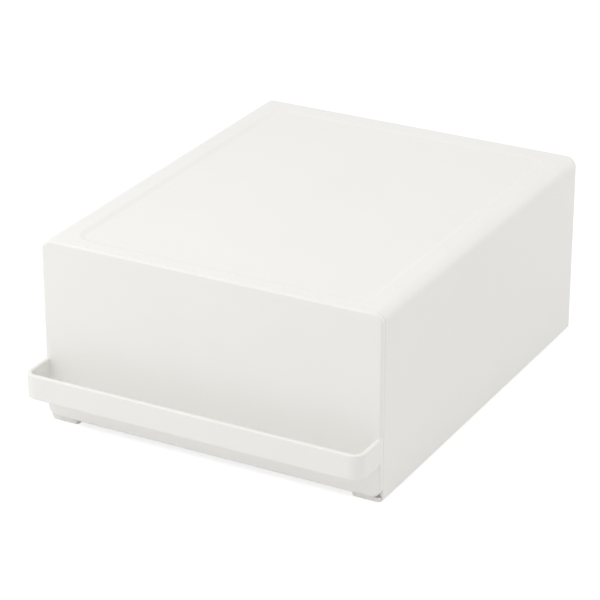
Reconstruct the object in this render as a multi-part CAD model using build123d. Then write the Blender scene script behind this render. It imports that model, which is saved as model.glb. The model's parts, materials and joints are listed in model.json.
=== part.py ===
from build123d import *

import math
import os

# Countertop drawer rack: a moulded sleeve on four pads, with one full-width drawer.
# Millimetres. X runs across, Y from front to back, Z up, origin under the middle of the footprint.

# Sleeve
casing_width = 250.0
casing_height = 128.0
casing_depth = 297.0
casing_wall = 2.0
corner_radius = 7.0
casing_edge = 0.4
flange_width = 23.0
flange_setback = 1.5

# Recess in the top, measured to the middle of its soft wall
recess_depth = 1.3
recess_slope_run = 3.6
recess_softness = 5.0
recess_corner = 9.0
recess_side_inset = 18.5
recess_front_inset = 9.5
recess_rear_inset = 14.0

# Clearances: between sliding pieces, seated panels, pushed-in pieces, and screws in their holes
slide_clearance = 0.3
seat_clearance = 0.2
push_clearance = 0.1
screw_clearance = 0.3
pilot_clearance = 0.05

# Floor of the sleeve
base_thickness = 2.2
base_setback = 6.0
base_corner_cut = 8.0
base_rib_width = 1.8
base_rib_pitch = 32.0
base_rib_lift = 0.4
base_rib_margin = 12.0

# Back of the sleeve
rear_thickness = 2.2
rear_recess = 2.5
rear_field_depth = 0.8
rear_field_inset = 16.0
rear_field_corner = 10.0
rear_rib_width = 1.8
rear_rib_height = 5.0
rear_boss_radius = 3.6
rear_boss_length = 8.0
rear_boss_bond = 0.6
rear_boss_inset = 30.0

# Pads under the flanges; the front ones have a low toe under the drawer front
foot_height = 4.0
foot_length = 21.0
foot_corner = 3.0
foot_edge = 0.5
foot_side_gap = 1.0
foot_toe_inset = 2.5
foot_toe_drop = 0.8
foot_spigot_width = 6.0
foot_spigot_height = 1.8

# Runners, stop pegs and buffers
runner_wall = 2.0
peg_radius = 2.0
peg_reach = 2.4
peg_head_radius = 2.9
peg_head_height = 1.6
peg_head_edge = 0.6
peg_offset = 12.0
buffer_radius = 5.0
buffer_edge = 1.5
buffer_neck_radius = 2.0
buffer_barb_radius = 3.2
buffer_barb_height = 1.2
buffer_spacing = 96.0
buffer_height = 60.0

# Glides on the tray's sides
glide_width = 6.7
glide_height = 12.0
glide_nose = 2.0
glide_rib_rise = 2.8
glide_rib_width = 2.4
glide_rib_reach = 3.5
groove_depth = 3.0
groove_side_room = 0.6
drawer_travel = 200.0

# Tray
tray_wall = 2.0
tray_floor = 2.0
tray_floor_gap = 1.5
tray_head_room = 12.0
tray_corner = 7.0
tray_floor_fillet = 2.5
tray_edge = 1.5
tray_lip = 2.4
tray_lip_height = 2.4
tray_lip_edge = 0.8
tray_back_gap = 1.0

# Drawer front
front_thickness = 4.0
front_gap = 0.3
front_edge = 1.5
front_standoff = 4.2
front_rib_width = 2.0
front_rib_inset = 6.0
front_boss_radius = 4.5
front_boss_inset = 24.0
front_skin = 1.6

# Pull rail
handle_reach = 28.0
handle_thickness = 3.0
handle_height = 17.5
handle_low = 25.0
handle_corner = 8.5
handle_edge = 0.9
handle_inner_edge = 0.6
tongue_thickness = 1.4
tongue_height = 10.0

# Screws
screw_radius = 1.3
screw_head_radius = 2.9
screw_head_height = 1.8
screw_end_gap = 0.4
runner_screw_pitch = 150.0
runner_screw_count = 2

# Depths, counted along Y
overall_depth = handle_reach + front_thickness + front_gap + casing_depth
y_handle = -overall_depth / 2
y_front = y_handle + handle_reach
y_front_back = y_front + front_thickness
y_casing = y_front_back + front_gap
y_rear = y_casing + casing_depth
y_rear_face = y_rear - rear_recess
y_rear_inside = y_rear_face - rear_thickness
y_field = y_rear_face - rear_field_depth
runner_front = y_casing + base_setback
runner_back = y_rear_inside - seat_clearance
tray_front = y_front_back + front_standoff
tray_back = y_rear_inside - rear_boss_length - tray_lip - tray_back_gap
glide_front = tray_front + tray_corner
glide_back = tray_back - tray_corner
peg_y = runner_front + peg_offset
foot_toe = front_thickness + front_gap + flange_setback - foot_toe_inset
groove_end = peg_y + peg_radius + slide_clearance + drawer_travel

# Half widths, counted along X from the middle
half_width = casing_width / 2
inner_half = half_width - casing_wall
slot_half = inner_half - flange_width
runner_outer = inner_half - slide_clearance
glide_outer = runner_outer - runner_wall - slide_clearance
tray_half = glide_outer - glide_width
runner_inner = tray_half + 2 * slide_clearance
peg_x = glide_outer - glide_width / 2
runner_screw_x = (runner_outer + runner_inner) / 2
rear_boss_x = inner_half - rear_boss_radius + rear_boss_bond
foot_x = half_width - foot_side_gap - foot_length / 2
front_boss_x = tray_half - front_boss_inset
tongue_x = half_width - handle_thickness / 2

# Heights, counted along Z from the table
z_casing = foot_height
z_top = z_casing + casing_height
z_flange = z_casing + casing_wall
z_base = z_flange + base_thickness
z_glide = z_base + runner_wall + slide_clearance
z_glide_top = z_glide + glide_height
z_runner_top = z_glide_top + slide_clearance + runner_wall
z_rib = z_glide + glide_rib_rise
z_tray = z_base + tray_floor_gap
z_rim = z_top - casing_wall - recess_depth - tray_head_room
z_handle = z_casing + handle_low

# Hole radii
screw_hole = screw_radius + screw_clearance
pilot_hole = screw_radius + pilot_clearance

# Places that repeat
SIGNS = {"left": -1, "right": 1}
foot_places = {
    "front": y_casing + flange_setback + foot_length / 2,
    "rear": y_rear - foot_side_gap - foot_length / 2,
}
first_screw_row = (runner_front + runner_back - (runner_screw_count - 1) * runner_screw_pitch) / 2
runner_screw_rows = [first_screw_row + row * runner_screw_pitch for row in range(runner_screw_count)]
rear_boss_heights = [z_casing + rear_boss_inset, z_top - rear_boss_inset]
front_boss_heights = [z_tray + front_boss_inset, z_rim - front_boss_inset]
ON_BASE = (Align.CENTER, Align.CENTER, Align.MIN)


def facing_front(y):
    # Plane at a depth, drawn as seen from the front, from which a positive extrusion comes forward
    return Plane(origin=(0, y, 0), x_dir=(1, 0, 0), z_dir=(0, -1, 0))


def band(middle, width):
    # The two ends of a width centred on a place
    return (middle - width / 2, middle + width / 2)


def block(x, y, z):
    # Box between two values on each axis, given in either order
    middle = [(pair[0] + pair[1]) / 2 for pair in (x, y, z)]
    size = [abs(pair[1] - pair[0]) for pair in (x, y, z)]
    return Pos(*middle) * Box(*size)


def upright(radius, height, x, y, z):
    # Cylinder that stands on a point
    return Pos(x, y, z) * Cylinder(radius, height, align=ON_BASE)


def forward(radius, length, x, y, z):
    # Cylinder that reaches forward from a point
    return Pos(x, y, z) * Rot(90, 0, 0) * Cylinder(radius, length, align=ON_BASE)


def arched(half, low, high, radius):
    # Upright rectangle whose two top corners are rounded
    outline = Pos(0, (low + high) / 2) * Rectangle(2 * half, high - low)
    return fillet(outline.vertices().group_by(Axis.Y)[-1], radius)


def rounded_prism(half, front, back, low, high, radius):
    # Upright block with rounded vertical corners
    outline = RectangleRounded(2 * half, back - front, radius)
    return Pos(0, (front + back) / 2, low) * extrude(outline, high - low)


def lowest(solid):
    return solid.faces().sort_by(Axis.Z)[0]


def recess_form(floor, top, grow):
    # Shallow dish with sloping walls: it sinks the recess, and its twin backs the recess from below
    slope = math.degrees(math.atan(recess_slope_run / recess_depth))
    margin = recess_slope_run / 2 - grow
    front = y_casing + recess_front_inset + margin
    back = y_rear - recess_rear_inset - margin
    half = half_width - recess_side_inset - margin
    outline = RectangleRounded(2 * half, back - front, recess_corner)
    return Pos(0, (front + back) / 2, floor) * extrude(outline, top - floor, taper=-slope)


def outer_edges(face):
    # Edges of the sleeve's end that lie on its outside: the two sides, the top and the arcs between them
    def outside(edge):
        middle = edge.center(CenterOf.MASS)
        on_side = abs(abs(middle.X) - half_width) < casing_wall / 4
        on_top = abs(middle.Z - z_top) < casing_wall / 4
        on_arc = edge.geom_type == GeomType.CIRCLE and edge.radius > corner_radius - casing_wall / 2
        return on_side or on_top or on_arc
    return face.edges().filter_by(outside)


def spigot(sign, y, top, room):
    # Square peg on a pad, or with room round it the hole that it is pushed into
    width = foot_spigot_width + 2 * room
    return block(band(sign * foot_x, width), band(y, width), (z_casing, top))


def build_casing_shell():
    section = arched(half_width, z_casing, z_top, corner_radius)
    section -= arched(inner_half, z_flange, z_top - casing_wall, corner_radius - casing_wall)
    section -= Pos(0, (z_casing + z_flange) / 2) * Rectangle(2 * slot_half, casing_wall)
    shell = extrude(facing_front(y_rear) * section, casing_depth)
    # Recess in the top, with a skin of even thickness
    ceiling = z_top - casing_wall
    slope_from_level = math.atan(recess_depth / recess_slope_run)
    skin_grow = casing_wall * math.tan(slope_from_level / 2)
    shell += recess_form(ceiling - recess_depth, ceiling + casing_wall / 2, skin_grow)
    recess = recess_form(z_top - recess_depth, z_top + recess_depth, 0)
    shell -= fillet(lowest(recess).edges(), recess_softness)
    rim = shell.faces().filter_by(lambda face: abs(face.center().Z - z_top) < recess_depth / 4)
    shell = fillet(rim[0].inner_wires()[0].edges(), recess_softness)
    shell = chamfer(outer_edges(shell.faces().sort_by(Axis.Y)[0]), casing_edge)
    shell = chamfer(outer_edges(shell.faces().sort_by(Axis.Y)[-1]), casing_edge)
    # Flanges stand back from the drawer front
    shell -= block((-inner_half, inner_half), (y_casing, y_casing + flange_setback), (z_casing, z_flange))
    for sign in SIGNS.values():
        for z in rear_boss_heights:
            shell += forward(rear_boss_radius, rear_boss_length, sign * rear_boss_x, y_rear_inside, z)
            shell -= forward(pilot_hole, rear_boss_length, sign * rear_boss_x, y_rear_inside, z)
        for y in runner_screw_rows:
            shell -= upright(screw_hole, casing_wall, sign * runner_screw_x, y, z_casing)
        for y in foot_places.values():
            shell -= spigot(sign, y, z_flange, push_clearance)
    return shell


def build_base_panel():
    back = y_rear_inside - seat_clearance
    half = inner_half - seat_clearance
    outline = Pos(0, (runner_front + back) / 2) * Rectangle(2 * half, back - runner_front)
    outline = chamfer(outline.vertices().group_by(Axis.Y)[0], base_corner_cut)
    panel = Pos(0, 0, z_flange) * extrude(outline, base_thickness)
    # Stiffening ribs below, between the flanges
    rib_low = z_casing + base_rib_lift
    rib_half = slot_half - seat_clearance - base_rib_width
    rib_ends = (runner_front + base_rib_margin, back - base_rib_margin)
    ribs_each_side = int(rib_half // base_rib_pitch)
    for step in range(-ribs_each_side, ribs_each_side + 1):
        x = step * base_rib_pitch
        panel += block(band(x, base_rib_width), rib_ends, (rib_low, z_flange))
    for y in runner_screw_rows:
        panel += block((-rib_half, rib_half), band(y, base_rib_width), (rib_low, z_flange))
        for sign in SIGNS.values():
            panel -= upright(screw_hole, base_thickness, sign * runner_screw_x, y, z_flange)
    return panel


def build_rear_panel():
    half = inner_half - seat_clearance
    low = z_flange + seat_clearance
    high = z_top - casing_wall - seat_clearance
    outline = arched(half, low, high, corner_radius - casing_wall - seat_clearance)
    panel = extrude(facing_front(y_rear_face) * outline, rear_thickness)
    # Sunken field outside, with a stiffening frame behind its border
    field_size = (2 * (half - rear_field_inset), high - low - 2 * rear_field_inset)
    place = Pos(0, (low + high) / 2)
    field = place * RectangleRounded(*field_size, rear_field_corner)
    rib_size = [side + 2 * rear_rib_width for side in field_size]
    frame = place * RectangleRounded(*rib_size, rear_field_corner + rear_rib_width) - field
    panel -= extrude(facing_front(y_rear_face) * field, rear_field_depth)
    panel += extrude(facing_front(y_rear_inside) * frame, rear_rib_height)
    for sign in SIGNS.values():
        for z in rear_boss_heights:
            panel -= forward(screw_hole, rear_thickness, sign * rear_boss_x, y_rear_face, z)
        neck_hole = buffer_neck_radius + push_clearance
        panel -= forward(neck_hole, rear_thickness, sign * buffer_spacing / 2, y_rear_face, buffer_height)
    return panel


def build_foot(sign, y, toe):
    # Square pad with a spigot, lengthened forward by its toe
    outline = RectangleRounded(foot_length, foot_length + toe, foot_corner)
    pad = Pos(sign * foot_x, y - toe / 2, 0) * extrude(outline, foot_height)
    pad = chamfer(lowest(pad).edges(), foot_edge)
    if toe:
        across = band(sign * foot_x, foot_length)
        back = y - foot_length / 2
        pad -= block(across, (back - toe, back), (z_casing - foot_toe_drop, z_casing))
    return pad + spigot(sign, y, z_casing + foot_spigot_height, 0)


def build_runner(sign):
    # Channel open towards the tray
    across = (sign * runner_inner, sign * runner_outer)
    along = (runner_front, runner_back)
    channel = (sign * runner_inner, sign * (runner_outer - runner_wall))
    runner = block(across, along, (z_base, z_runner_top))
    runner -= block(channel, along, (z_base + runner_wall, z_runner_top - runner_wall))
    peg_hole = peg_radius + push_clearance
    runner -= upright(peg_hole, runner_wall, sign * peg_x, peg_y, z_runner_top - runner_wall)
    for y in runner_screw_rows:
        runner -= upright(pilot_hole, runner_wall, sign * runner_screw_x, y, z_base)
    return runner


def build_stop_peg(sign):
    # Head on the runner's upper wall, shank down into the glide's groove
    length = runner_wall + peg_reach
    shank = upright(peg_radius, length, sign * peg_x, peg_y, z_runner_top - length)
    head = upright(peg_head_radius, peg_head_height, sign * peg_x, peg_y, z_runner_top)
    head = chamfer(head.faces().sort_by(Axis.Z)[-1].edges(), peg_head_edge)
    return shank + head


def build_buffer(sign):
    x = sign * buffer_spacing / 2
    reach = y_rear_inside - tray_back - slide_clearance
    head = forward(buffer_radius, reach, x, y_rear_inside, buffer_height)
    head = chamfer(head.faces().sort_by(Axis.Y)[0].edges(), buffer_edge)
    neck = forward(buffer_neck_radius, y_field - y_rear_inside, x, y_field, buffer_height)
    barb = forward(buffer_barb_radius, buffer_barb_height, x, y_field + buffer_barb_height, buffer_height)
    return head + neck + barb


def build_drawer_tray():
    tray = rounded_prism(tray_half, tray_front, tray_back, z_tray, z_rim, tray_corner)
    tray = chamfer(lowest(tray).edges(), tray_edge)
    lip = rounded_prism(
        tray_half + tray_lip, tray_front - tray_lip, tray_back + tray_lip,
        z_rim - tray_lip_height, z_rim, tray_corner + tray_lip,
    )
    tray += chamfer(lip.faces().sort_by(Axis.Z)[-1].edges(), tray_lip_edge)
    hollow = rounded_prism(
        tray_half - tray_wall, tray_front + tray_wall, tray_back - tray_wall,
        z_tray + tray_floor, z_rim, tray_corner - tray_wall,
    )
    tray -= fillet(lowest(hollow).edges(), tray_floor_fillet)
    for sign in SIGNS.values():
        rib_across = (sign * (tray_half - tray_wall / 2), sign * (tray_half + glide_rib_reach))
        tray += block(rib_across, (glide_front, glide_back), (z_rib, z_rib + glide_rib_width))
        for z in front_boss_heights:
            tray -= forward(screw_hole, tray_wall, sign * front_boss_x, tray_front + tray_wall, z)
    return tray


def build_glide(sign):
    along = (glide_front, glide_back)
    glide = block((sign * tray_half, sign * glide_outer), along, (z_glide, z_glide_top))
    outer_face = glide.faces().sort_by(Axis.X)[-1 if sign > 0 else 0]
    glide = chamfer(outer_face.edges().filter_by(Axis.Z), glide_nose)
    # Slot for the tray's rib, and the groove that the stop peg runs in
    slot_across = (sign * tray_half, sign * (tray_half + glide_rib_reach + push_clearance))
    slot_up = (z_rib - push_clearance, z_rib + glide_rib_width + push_clearance)
    glide -= block(slot_across, along, slot_up)
    groove_across = band(sign * peg_x, 2 * (peg_radius + groove_side_room))
    glide -= block(groove_across, (glide_front, groove_end), (z_glide_top - groove_depth, z_glide_top))
    return glide


def tongue_block(sign, room):
    across = band(sign * tongue_x, tongue_thickness + 2 * room)
    upwards = band(z_handle + handle_height / 2, tongue_height + 2 * room)
    return block(across, (y_front, y_front_back), upwards)


def build_drawer_front():
    face = RectangleRounded(casing_width, casing_height, corner_radius)
    outline = Pos(0, z_casing + casing_height / 2) * face
    panel = extrude(facing_front(y_front_back) * outline, front_thickness)
    panel = fillet(panel.faces().sort_by(Axis.Y)[0].edges(), front_edge)
    # Frame and bosses behind, on which the tray's front wall sits
    half = tray_half - front_rib_inset
    low, high = z_tray + front_rib_inset, z_rim - front_rib_inset
    place = Pos(0, (low + high) / 2)
    frame = place * RectangleRounded(2 * half, high - low, tray_corner)
    frame -= place * Rectangle(2 * half - 2 * front_rib_width, high - low - 2 * front_rib_width)
    panel += extrude(facing_front(tray_front) * frame, front_standoff)
    pilot_depth = front_standoff + front_thickness - front_skin
    for sign in SIGNS.values():
        for z in front_boss_heights:
            panel += forward(front_boss_radius, front_standoff, sign * front_boss_x, tray_front, z)
            panel -= forward(pilot_hole, pilot_depth, sign * front_boss_x, tray_front, z)
        # Square seat and slot for each end of the pull rail
        seat_across = (sign * (half_width - handle_thickness), sign * half_width)
        panel += block(seat_across, (y_front, y_front_back), (z_handle, z_handle + handle_height))
        panel -= tongue_block(sign, push_clearance)
    return panel


def build_handle_rail():
    def bow(half, front, radius):
        outline = Pos(0, (front + y_front) / 2) * Rectangle(2 * half, y_front - front)
        outline = fillet(outline.vertices().group_by(Axis.Y)[0], radius)
        return Pos(0, 0, z_handle) * extrude(outline, handle_height)

    def rim(solid, wanted):
        ends = solid.faces().sort_by(Axis.Z)
        return (ends[0].edges() + ends[-1].edges()).filter_by(wanted)

    def outside(edge):
        return edge.center(CenterOf.MASS).Y < y_front - handle_thickness / 2

    def inside(edge):
        box = edge.bounding_box()
        clear_of_sides = max(-box.min.X, box.max.X) < half_width - handle_thickness / 2
        return clear_of_sides and box.min.Y > y_handle + handle_thickness / 2

    rail = bow(half_width, y_handle, handle_corner)
    rail = fillet(rim(rail, outside), handle_edge)
    rail -= bow(half_width - handle_thickness, y_handle + handle_thickness, handle_corner - handle_thickness)
    rail = chamfer(rim(rail, inside), handle_inner_edge)
    for sign in SIGNS.values():
        rail += tongue_block(sign, 0)
    return rail


def build_screw(length):
    # Head above the seat at Z = 0, shank below it
    head = upright(screw_head_radius, screw_head_height, 0, 0, 0)
    return head + upright(screw_radius, length, 0, 0, -length)


def build_runner_screws():
    screw = build_screw(casing_wall + base_thickness + runner_wall - screw_end_gap)
    places = [(sign * runner_screw_x, y) for sign in SIGNS.values() for y in runner_screw_rows]
    return [Pos(x, y, z_casing) * Rot(180, 0, 0) * screw for x, y in places]


def build_rear_screws():
    screw = build_screw(rear_thickness + rear_boss_length - screw_end_gap)
    places = [(sign * rear_boss_x, z) for sign in SIGNS.values() for z in rear_boss_heights]
    return [Pos(x, y_rear_face, z) * Rot(-90, 0, 0) * screw for x, z in places]


def build_front_screws():
    screw = build_screw(tray_wall + front_standoff + front_thickness - front_skin - screw_end_gap)
    places = [(sign * front_boss_x, z) for sign in SIGNS.values() for z in front_boss_heights]
    return [Pos(x, tray_front + tray_wall, z) * Rot(-90, 0, 0) * screw for x, z in places]


def build_all():
    nodes = {
        "casing_shell": build_casing_shell(),
        "base_panel": build_base_panel(),
        "rear_panel": build_rear_panel(),
        "drawer_tray": build_drawer_tray(),
        "drawer_front": build_drawer_front(),
        "handle_rail": build_handle_rail(),
        "runner_screws": Compound(children=build_runner_screws()),
        "rear_screws": Compound(children=build_rear_screws()),
        "front_screws": Compound(children=build_front_screws()),
    }
    for side, sign in SIGNS.items():
        nodes[side + "_runner"] = build_runner(sign)
        nodes[side + "_glide"] = build_glide(sign)
        nodes[side + "_stop_peg"] = build_stop_peg(sign)
        nodes[side + "_buffer"] = build_buffer(sign)
        nodes["front_" + side + "_foot"] = build_foot(sign, foot_places["front"], foot_toe)
        nodes["rear_" + side + "_foot"] = build_foot(sign, foot_places["rear"], 0)
    return nodes


os.makedirs("parts", exist_ok=True)
for name, solid in build_all().items():
    export_step(solid, os.path.join("parts", name + ".step"))
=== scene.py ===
import json
import math

import bmesh
import bpy
from mathutils import Matrix, Vector


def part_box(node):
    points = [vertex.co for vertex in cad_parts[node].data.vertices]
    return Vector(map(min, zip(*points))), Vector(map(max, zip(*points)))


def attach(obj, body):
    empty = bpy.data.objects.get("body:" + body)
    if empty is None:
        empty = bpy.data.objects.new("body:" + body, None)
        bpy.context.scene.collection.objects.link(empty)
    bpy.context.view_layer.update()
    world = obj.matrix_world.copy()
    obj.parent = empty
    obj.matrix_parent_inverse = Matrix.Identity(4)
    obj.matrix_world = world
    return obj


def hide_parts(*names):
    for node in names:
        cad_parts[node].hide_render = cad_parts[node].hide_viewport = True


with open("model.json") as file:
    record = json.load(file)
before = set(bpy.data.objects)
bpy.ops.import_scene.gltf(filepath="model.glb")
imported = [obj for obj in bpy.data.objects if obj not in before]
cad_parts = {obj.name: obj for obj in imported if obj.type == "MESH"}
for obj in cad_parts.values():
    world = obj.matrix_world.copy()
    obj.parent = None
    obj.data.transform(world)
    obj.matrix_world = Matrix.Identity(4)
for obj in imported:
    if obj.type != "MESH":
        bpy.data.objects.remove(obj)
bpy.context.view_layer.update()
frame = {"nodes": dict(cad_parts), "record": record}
nodes = frame["nodes"]
scene = bpy.context.scene

# Camera, fitted to the outline in the photograph
IMAGE_SIDE_PX = 600
FOCAL_PX = 2650.0
SENSOR_MM = 36.0
VIEW_AZIMUTH = math.radians(28.5)
VIEW_ELEVATION = math.radians(24.52)
VIEW_DISTANCE = 1.8352
VIEW_TARGET = Vector((-0.0143, 0.01415, 0.05193))
CLIP_NEAR = 0.05
CLIP_FAR = 50.0

# Colours, linear
WARM_WHITE = (0.862, 0.853, 0.822)
TRAY_WHITE = (0.815, 0.808, 0.78)
RUNNER_GREY = (0.46, 0.465, 0.47)
GLIDE_NATURAL = (0.76, 0.75, 0.69)
# Pads: painted light, set paler than their own colour to make up for the shade that the rail and drawer
# front cast on them
PAD_PAINTED_PALER = (0.88, 0.871, 0.838)
ZINC = (0.60, 0.61, 0.62)


def look_from(direction, distance, target):
    # Matrix of something that stands off a target in a direction and faces it
    place = target + direction * distance
    turn = (target - place).to_track_quat("-Z", "Y")
    return Matrix.LocRotScale(place, turn, None)


def towards(azimuth, elevation):
    # Unit vector from the object: azimuth 0 is straight in front, positive to the right
    flat = math.cos(elevation)
    return Vector((math.sin(azimuth) * flat, -math.cos(azimuth) * flat, math.sin(elevation)))


class Shader:
    # Short hand for building a node tree around one principled shader

    def __init__(self, name):
        self.material = bpy.data.materials.new(name)
        self.material.use_nodes = True
        self.tree = self.material.node_tree
        self.surface = self.tree.nodes["Principled BSDF"]
        self.place = self.tree.nodes.new("ShaderNodeTexCoord").outputs["Object"]

    def stretched(self, scale):
        # The object's own coordinates, scaled along each axis
        mapping = self.tree.nodes.new("ShaderNodeMapping")
        mapping.inputs["Scale"].default_value = scale
        self.tree.links.new(self.place, mapping.inputs["Vector"])
        return mapping.outputs["Vector"]

    def noise(self, scale, detail, roughness=0.5, vector=None):
        # Noise with its scale per metre
        node = self.tree.nodes.new("ShaderNodeTexNoise")
        node.inputs["Scale"].default_value = scale
        node.inputs["Detail"].default_value = detail
        node.inputs["Roughness"].default_value = roughness
        self.tree.links.new(vector or self.place, node.inputs["Vector"])
        return node.outputs["Fac"]

    def spread(self, source, low, high, out_low, out_high):
        # Noise values from low to high become values from out_low to out_high
        node = self.tree.nodes.new("ShaderNodeMapRange")
        node.inputs["From Min"].default_value = low
        node.inputs["From Max"].default_value = high
        node.inputs["To Min"].default_value = out_low
        node.inputs["To Max"].default_value = out_high
        self.tree.links.new(source, node.inputs["Value"])
        return node.outputs["Result"]

    def shades(self, source, colour, low, high, dark, pale):
        # Noise values from low to high become shades of one colour, given as shares of it
        node = self.tree.nodes.new("ShaderNodeValToRGB")
        stops = ((low, dark), (high, pale))
        for element, (position, share) in zip(node.color_ramp.elements, stops):
            element.position = position
            element.color = (*(channel * share for channel in colour), 1.0)
        self.tree.links.new(source, node.inputs["Fac"])
        return node.outputs["Color"]

    def bump(self, source, strength, distance, base=None):
        node = self.tree.nodes.new("ShaderNodeBump")
        node.inputs["Strength"].default_value = strength
        node.inputs["Distance"].default_value = distance
        self.tree.links.new(source, node.inputs["Height"])
        if base:
            self.tree.links.new(base, node.inputs["Normal"])
        return node.outputs["Normal"]

    def set(self, **values):
        # Links a socket, or writes a constant, to the shader's input of that name
        for key, value in values.items():
            socket = self.surface.inputs[key.replace("_", " ")]
            if isinstance(value, bpy.types.NodeSocket):
                self.tree.links.new(value, socket)
            else:
                socket.default_value = value
        return self.material


def moulded_plastic(name, colour, roughness, grain_strength):
    # Satin moulding: fine etched grain, slow waves from cooling, faint clouding of colour and gloss
    swing = 0.04
    kit = Shader(name)
    clouds = kit.noise(scale=14.0, detail=4.0, roughness=0.55)
    gloss = kit.noise(scale=120.0, detail=3.0, roughness=0.6)
    grain = kit.noise(scale=5200.0, detail=2.0, roughness=0.6)
    waves = kit.noise(scale=22.0, detail=1.0)
    slow = kit.bump(waves, strength=0.08, distance=0.0006)
    return kit.set(
        Base_Color=kit.shades(clouds, colour, low=0.3, high=0.7, dark=0.992, pale=1.006),
        Roughness=kit.spread(
            gloss, low=0.3, high=0.7, out_low=roughness - swing, out_high=roughness + swing
        ),
        Normal=kit.bump(grain, strength=grain_strength, distance=0.00005, base=slow),
        Specular_IOR_Level=0.45,
    )


def drawn_plastic(name, colour, roughness):
    # Extruded or rubbed strip: streaks along its length, which is the Y axis
    swing = 0.08
    kit = Shader(name)
    along = kit.stretched((900.0, 7.0, 900.0))
    streaks = kit.noise(scale=1.0, detail=4.0, roughness=0.6, vector=along)
    return kit.set(
        Base_Color=kit.shades(streaks, colour, low=0.25, high=0.75, dark=0.93, pale=1.05),
        Roughness=kit.spread(
            streaks, low=0.25, high=0.75, out_low=roughness - swing, out_high=roughness + swing
        ),
        Normal=kit.bump(streaks, strength=0.25, distance=0.00008),
        Specular_IOR_Level=0.5,
    )


def soft_rubber(name, colour):
    # Matt elastomer with a mould grain and a little dust
    kit = Shader(name)
    dust = kit.noise(scale=420.0, detail=5.0, roughness=0.7)
    grain = kit.noise(scale=3800.0, detail=3.0, roughness=0.6)
    return kit.set(
        Base_Color=kit.shades(dust, colour, low=0.35, high=0.72, dark=0.96, pale=1.04),
        Roughness=kit.spread(dust, low=0.3, high=0.7, out_low=0.72, out_high=0.86),
        Normal=kit.bump(grain, strength=0.35, distance=0.00008),
        Specular_IOR_Level=0.3,
    )


def plated_steel(name, colour):
    # Zinc plate: bright and cloudy, with fine marks
    kit = Shader(name)
    clouds = kit.noise(scale=700.0, detail=4.0, roughness=0.6)
    marks = kit.noise(scale=9000.0, detail=2.0)
    return kit.set(
        Base_Color=kit.shades(clouds, colour, low=0.3, high=0.7, dark=0.86, pale=1.08),
        Metallic=1.0,
        Roughness=kit.spread(clouds, low=0.3, high=0.7, out_low=0.26, out_high=0.42),
        Normal=kit.bump(marks, strength=0.12, distance=0.00003),
    )


MATERIALS = {
    "white_case": moulded_plastic("satin_white_case", WARM_WHITE, roughness=0.42, grain_strength=0.10),
    "white_front": moulded_plastic("satin_white_front", WARM_WHITE, roughness=0.42, grain_strength=0.10),
    "white_tray": moulded_plastic("satin_white_tray", TRAY_WHITE, roughness=0.50, grain_strength=0.14),
    "grey_runner": drawn_plastic("grey_runner", RUNNER_GREY, roughness=0.45),
    "natural_glide": drawn_plastic("natural_glide", GLIDE_NATURAL, roughness=0.40),
    "pale_rubber": soft_rubber("pale_rubber", PAD_PAINTED_PALER),
    "zinc_screw": plated_steel("zinc_screw", ZINC),
}

for subpart in frame["record"]["subparts"]:
    mesh = nodes[subpart["node"]].data
    mesh.materials.clear()
    mesh.materials.append(MATERIALS[subpart["material_slot"]])

# Thin sills below the sleeve's sides, which run straight down to the table in the photograph
SILL_THICKNESS = 0.0009
SILL_LIFT = 0.0012
SILL_EDGE = 0.0004
SILL_ARC_STEPS = 4


def sill_section(top):
    # Points (distance inside the sleeve's side, height), with the lower outer edge rounded
    points = [(SILL_THICKNESS, top), (SILL_THICKNESS, SILL_LIFT)]
    for step in range(SILL_ARC_STEPS + 1):
        angle = math.pi / 2 * step / SILL_ARC_STEPS
        inside = SILL_EDGE * (1 - math.sin(angle))
        points.append((inside, SILL_LIFT + SILL_EDGE * (1 - math.cos(angle))))
    points.append((0, top))
    return points


def add_sill(side, sign):
    # Strip from the sleeve's lower edge to just above the table, with its outer side chamfered at both ends
    low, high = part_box("casing_shell")
    section = sill_section(low[2])
    front, rear = low[1], high[1]
    stations = [(front, SILL_EDGE), (front + SILL_EDGE, 0), (rear - SILL_EDGE, 0), (rear, SILL_EDGE)]
    build = bmesh.new()
    rings = []
    for y, cut in stations:
        ring = [(sign * (high[0] - max(inside, cut)), y, z) for inside, z in section]
        rings.append([build.verts.new(point) for point in ring])
    for ring, after in zip(rings, rings[1:]):
        for step in range(len(ring)):
            build.faces.new((ring[step - 1], ring[step], after[step], after[step - 1]))
    build.faces.new(rings[0])
    build.faces.new(rings[-1])
    bmesh.ops.recalc_face_normals(build, faces=build.faces)
    mesh = bpy.data.meshes.new(side + "_sill")
    build.to_mesh(mesh)
    build.free()
    mesh.materials.append(MATERIALS["white_case"])
    piece = bpy.data.objects.new(side + "_sill", mesh)
    scene.collection.objects.link(piece)
    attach(piece, "casing")


add_sill("left", -1)
add_sill("right", 1)

# Screws with crowned heads, cross recesses and ridged shanks, in place of the plain ones
HEAD_RADIUS = 0.0029
HEAD_HEIGHT = 0.0018
CROWN_HEIGHT_SHARE = 0.62
CROWN_INWARD_SHARE = 0.42
CROWN_STEPS = 7
SHANK_RADIUS = 0.0013
RIDGE_DEPTH = 0.00022
RIDGE_PITCH = 0.0009
RECESS_LENGTH = 0.0036
RECESS_WIDTH = 0.0008
RECESS_DEPTH = 0.0011
RECESS_LENGTH_BELOW = 0.62
RECESS_WIDTH_BELOW = 0.8
SCREW_SIDES = 40
FIRST_SPIN_DEGREES = 23
NEXT_SPIN_DEGREES = 41

# Heights of a ridge's start, top and end, as shares of the pitch: the last two count from its start
RIDGE_START = 0.5
RIDGE_TOP = 0.3
RIDGE_END = 0.6

# Points of one node closer than this are one point, and boxes are sorted by this many digits
SAME_POINT = 1e-6
SORT_DIGITS = 5


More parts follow.
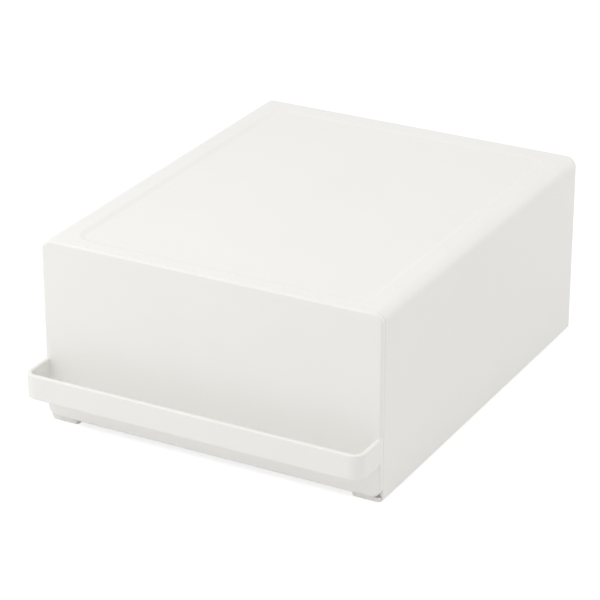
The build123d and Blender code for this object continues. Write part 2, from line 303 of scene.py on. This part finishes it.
def spun(name, profile, sides):
    # Surface of revolution about Z from (radius, height) points that start and end on the axis
    build = bmesh.new()
    rings = []
    for radius, height in profile:
        if radius == 0:
            rings.append([build.verts.new((0, 0, height))])
            continue
        angles = [2 * math.pi * step / sides for step in range(sides)]
        rings.append([build.verts.new((radius * math.cos(a), radius * math.sin(a), height)) for a in angles])
    for lower, upper in zip(rings, rings[1:]):
        for step in range(sides):
            after = (step + 1) % sides
            if len(lower) == 1:
                build.faces.new((lower[0], upper[after], upper[step]))
            elif len(upper) == 1:
                build.faces.new((lower[step], lower[after], upper[0]))
            else:
                build.faces.new((lower[step], lower[after], upper[after], upper[step]))
    bmesh.ops.recalc_face_normals(build, faces=build.faces)
    mesh = bpy.data.meshes.new(name)
    build.to_mesh(mesh)
    build.free()
    return mesh


def screw_profile(length):
    # Points (radius, height) from the tip to the crown, with the head's seat at height 0
    points = [(0, -length), (SHANK_RADIUS - 2 * RIDGE_DEPTH, -length)]
    ridges = int((length - RIDGE_PITCH) / RIDGE_PITCH)
    for ridge in range(ridges):
        height = -length + RIDGE_PITCH * (ridge + RIDGE_START)
        points.append((SHANK_RADIUS - RIDGE_DEPTH, height))
        points.append((SHANK_RADIUS, height + RIDGE_PITCH * RIDGE_TOP))
        points.append((SHANK_RADIUS - RIDGE_DEPTH, height + RIDGE_PITCH * RIDGE_END))
    points.append((SHANK_RADIUS - RIDGE_DEPTH, 0))
    points.append((HEAD_RADIUS, 0))
    crown = HEAD_HEIGHT * CROWN_HEIGHT_SHARE
    points.append((HEAD_RADIUS, HEAD_HEIGHT - crown))
    for step in range(1, CROWN_STEPS):
        angle = math.pi / 2 * step / CROWN_STEPS
        inward = HEAD_RADIUS * CROWN_INWARD_SHARE * (1 - math.cos(angle))
        points.append((HEAD_RADIUS - inward, HEAD_HEIGHT - crown + crown * math.sin(angle)))
    points.append((0, HEAD_HEIGHT))
    return points


def cross_cutter():
    # Two crossed bars, smaller at the bottom, which reach as far above the crown as they go into it
    build = bmesh.new()
    for turn in (0, 1):
        arm = bmesh.ops.create_cube(build, size=1.0)["verts"]
        for vertex in arm:
            below = vertex.co.z < 0
            along = vertex.co.x * RECESS_LENGTH * (RECESS_LENGTH_BELOW if below else 1.0)
            across = vertex.co.y * RECESS_WIDTH * (RECESS_WIDTH_BELOW if below else 1.0)
            up = HEAD_HEIGHT - RECESS_DEPTH + (vertex.co.z + 0.5) * 2 * RECESS_DEPTH
            vertex.co = Vector((-across, along, up) if turn else (along, across, up))
    mesh = bpy.data.meshes.new("cross_cutter")
    build.to_mesh(mesh)
    build.free()
    return mesh


def screw_mesh(length):
    # One screw with its recess cut, standing on its seat with the head up
    body = bpy.data.objects.new("screw_blank", spun("screw_blank", screw_profile(length), SCREW_SIDES))
    cutter = bpy.data.objects.new("cross_cutter", cross_cutter())
    for piece in (body, cutter):
        scene.collection.objects.link(piece)
    cut = body.modifiers.new("recess", "BOOLEAN")
    cut.operation = "DIFFERENCE"
    cut.solver = "EXACT"
    cut.use_self = True
    cut.object = cutter
    bpy.context.view_layer.update()
    mesh = bpy.data.meshes.new_from_object(body.evaluated_get(bpy.context.evaluated_depsgraph_get()))
    for piece in (body, cutter):
        bpy.data.objects.remove(piece)
    return mesh


def islands(mesh):
    # Boxes round the separate solids of one node
    build = bmesh.new()
    build.from_mesh(mesh)
    bmesh.ops.remove_doubles(build, verts=build.verts, dist=SAME_POINT)
    left = set(build.verts)
    boxes = []
    while left:
        front = [left.pop()]
        found = []
        while front:
            vertex = front.pop()
            found.append(vertex.co.copy())
            for edge in vertex.link_edges:
                other = edge.other_vert(vertex)
                if other in left:
                    left.remove(other)
                    front.append(other)
        low = Vector([min(point[axis] for point in found) for axis in range(3)])
        high = Vector([max(point[axis] for point in found) for axis in range(3)])
        boxes.append((low, high))
    build.free()
    return sorted(boxes, key=lambda box: tuple(round(value, SORT_DIGITS) for value in box[0]))


def dress_screws(node, body, head_towards):
    # One mesh that holds a detailed screw for each plain one
    axis = max(range(3), key=lambda index: abs(head_towards[index]))
    build = bmesh.new()
    pattern = None
    for number, (low, high) in enumerate(islands(nodes[node].data)):
        if pattern is None:
            pattern = screw_mesh(high[axis] - low[axis] - HEAD_HEIGHT)
        seat = (low + high) / 2
        head_end = high[axis] if head_towards[axis] > 0 else low[axis]
        seat[axis] = head_end - head_towards[axis] * HEAD_HEIGHT
        turn = Vector(head_towards).to_track_quat("Z", "Y").to_matrix().to_4x4()
        spin = Matrix.Rotation(math.radians(FIRST_SPIN_DEGREES + NEXT_SPIN_DEGREES * number), 4, "Z")
        copy = pattern.copy()
        copy.transform(Matrix.Translation(seat) @ turn @ spin)
        build.from_mesh(copy)
        bpy.data.meshes.remove(copy)
    mesh = bpy.data.meshes.new(node + "_dressed")
    build.to_mesh(mesh)
    build.free()
    mesh.materials.clear()
    mesh.materials.append(MATERIALS["zinc_screw"])
    piece = bpy.data.objects.new(node + "_dressed", mesh)
    scene.collection.objects.link(piece)
    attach(piece, body)
    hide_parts(node)


dress_screws("runner_screws", "casing", (0, 0, -1))
dress_screws("rear_screws", "casing", (0, 1, 0))
dress_screws("front_screws", "drawer", (0, 1, 0))

# Floor: white to the camera, with the object's shadow in it
FLOOR_HALF = 6.0
FLOOR_COLOUR = (0.80, 0.80, 0.80, 1.0)
FLOOR_SEEN_COLOUR = (0.30, 0.30, 0.30, 1.0)
FLOOR_GLOW = 0.80


def any_of(tree, first, second):
    # The larger of two values, so 1 where either is 1
    node = tree.nodes.new("ShaderNodeMath")
    node.operation = "MAXIMUM"
    tree.links.new(first, node.inputs[0])
    tree.links.new(second, node.inputs[1])
    return node.outputs[0]


def seen_rays(tree):
    # 1 for rays that show the background, straight to the camera, in gloss or through something clear
    path = tree.nodes.new("ShaderNodeLightPath").outputs
    straight_or_gloss = any_of(tree, path["Is Camera Ray"], path["Is Glossy Ray"])
    return any_of(tree, straight_or_gloss, path["Is Transmission Ray"])


def floor_material():
    # Plain pale floor for the light, and a glow with a darker floor in it for what is seen
    material = bpy.data.materials.new("studio_floor")
    material.use_nodes = True
    tree = material.node_tree
    tree.nodes.clear()
    plain = tree.nodes.new("ShaderNodeBsdfDiffuse")
    plain.inputs["Color"].default_value = FLOOR_COLOUR
    seen = tree.nodes.new("ShaderNodeBsdfDiffuse")
    seen.inputs["Color"].default_value = FLOOR_SEEN_COLOUR
    glow = tree.nodes.new("ShaderNodeEmission")
    glow.inputs["Strength"].default_value = FLOOR_GLOW
    both = tree.nodes.new("ShaderNodeAddShader")
    tree.links.new(seen.outputs[0], both.inputs[0])
    tree.links.new(glow.outputs[0], both.inputs[1])
    mix = tree.nodes.new("ShaderNodeMixShader")
    tree.links.new(seen_rays(tree), mix.inputs["Fac"])
    tree.links.new(plain.outputs[0], mix.inputs[1])
    tree.links.new(both.outputs[0], mix.inputs[2])
    out = tree.nodes.new("ShaderNodeOutputMaterial")
    tree.links.new(mix.outputs[0], out.inputs["Surface"])
    return material


floor_mesh = bpy.data.meshes.new("studio_floor")
corners = [
    (-FLOOR_HALF, -FLOOR_HALF, 0),
    (FLOOR_HALF, -FLOOR_HALF, 0),
    (FLOOR_HALF, FLOOR_HALF, 0),
    (-FLOOR_HALF, FLOOR_HALF, 0),
]
floor_mesh.from_pydata(corners, [], [(0, 1, 2, 3)])
floor_mesh.materials.append(floor_material())
floor = bpy.data.objects.new("studio_floor", floor_mesh)
scene.collection.objects.link(floor)

# Lamps: name, azimuth and elevation in degrees as seen from the object, distance, side of the square, power
LAMPS = [
    ("front_top", 20, 65, 1.4, 0.9, 2.06),
    ("front", -20, 45, 1.4, 0.9, 1.88),
    ("back_right", 120, 12, 1.5, 0.9, 1.88),
    ("back", 150, 28, 1.5, 0.9, 1.49),
    ("left", -60, 45, 1.4, 0.9, 1.43),
    ("front_low", -20, 12, 1.5, 0.9, 1.01),
    ("near_left", -60, 20, 0.75, 0.4, 0.52),
]
LAMP_TARGET = Vector((0.0, 0.02, 0.06))

for lamp_name, azimuth, elevation, distance, side, power in LAMPS:
    lamp = bpy.data.lights.new("lamp_" + lamp_name, "AREA")
    lamp.shape = "SQUARE"
    lamp.size = side
    lamp.energy = power
    holder = bpy.data.objects.new("lamp_" + lamp_name, lamp)
    direction = towards(math.radians(azimuth), math.radians(elevation))
    holder.matrix_world = look_from(direction, distance, LAMP_TARGET)
    scene.collection.objects.link(holder)

# World: its light on the object, and white where the background is seen
WORLD_LIGHT = 0.736
WORLD_SEEN = 1.0
WORLD_COLOUR = (1.0, 1.0, 1.0, 1.0)

world = bpy.data.worlds.new("studio_world")
world.use_nodes = True
tree = world.node_tree
sky = tree.nodes["Background"]
sky.inputs["Color"].default_value = WORLD_COLOUR
level = tree.nodes.new("ShaderNodeMapRange")
level.inputs["To Min"].default_value = WORLD_LIGHT
level.inputs["To Max"].default_value = WORLD_SEEN
tree.links.new(seen_rays(tree), level.inputs["Value"])
tree.links.new(level.outputs["Result"], sky.inputs["Strength"])
scene.world = world

camera = bpy.data.cameras.new("camera")
camera.sensor_width = SENSOR_MM
camera.lens = SENSOR_MM * FOCAL_PX / IMAGE_SIDE_PX
camera.clip_start = CLIP_NEAR
camera.clip_end = CLIP_FAR
eye = bpy.data.objects.new("camera", camera)
eye.matrix_world = look_from(towards(VIEW_AZIMUTH, VIEW_ELEVATION), VIEW_DISTANCE, VIEW_TARGET)
scene.collection.objects.link(eye)
scene.camera = eye

scene.view_settings.view_transform = "Standard"
